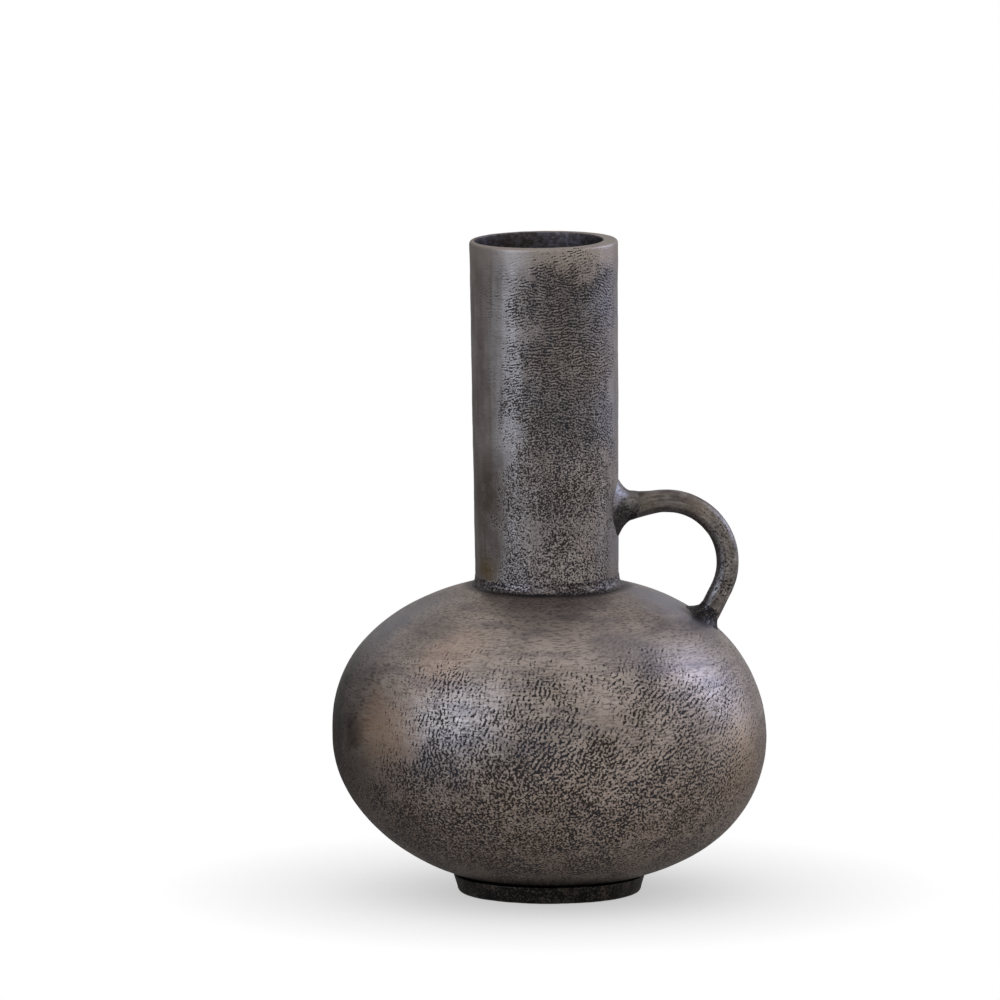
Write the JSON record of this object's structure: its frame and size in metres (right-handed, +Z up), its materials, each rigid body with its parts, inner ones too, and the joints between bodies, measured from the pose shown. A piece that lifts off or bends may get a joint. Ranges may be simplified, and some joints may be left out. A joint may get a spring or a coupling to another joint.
{
  "type": "metal vase",
  "caption": "Round-bodied cast metal vase with a tall thick neck, a small looped rod handle and a low foot ring, in a brown-grey patina; holds stems and stands on its foot.",
  "frame": {"origin": "middle of the vase on the surface that its foot stands on", "axes": "+Z up along the body's axis, +X towards the handle, -Y towards the viewer of the picture"},
  "size_m": [0.2201, 0.22, 0.3327],
  "materials": {
    "casting": "sand cast, antique brown-grey patina with dark oxide left in the pits, satin",
    "weld": "rough weld metal darkened with the same patina",
    "foot": "sand cast, nearly black patina"
  },
  "bodies": {
    "root": {"lower_bowl": "casting", "upper_dome": "casting", "girth_weld": "casting", "neck_tube": "casting", "handle_rod": "casting", "neck_weld": "weld", "handle_neck_weld": "weld", "handle_shoulder_weld": "weld", "foot_ring": "foot", "foot_weld": "foot"}
  },
  "joints": []
}
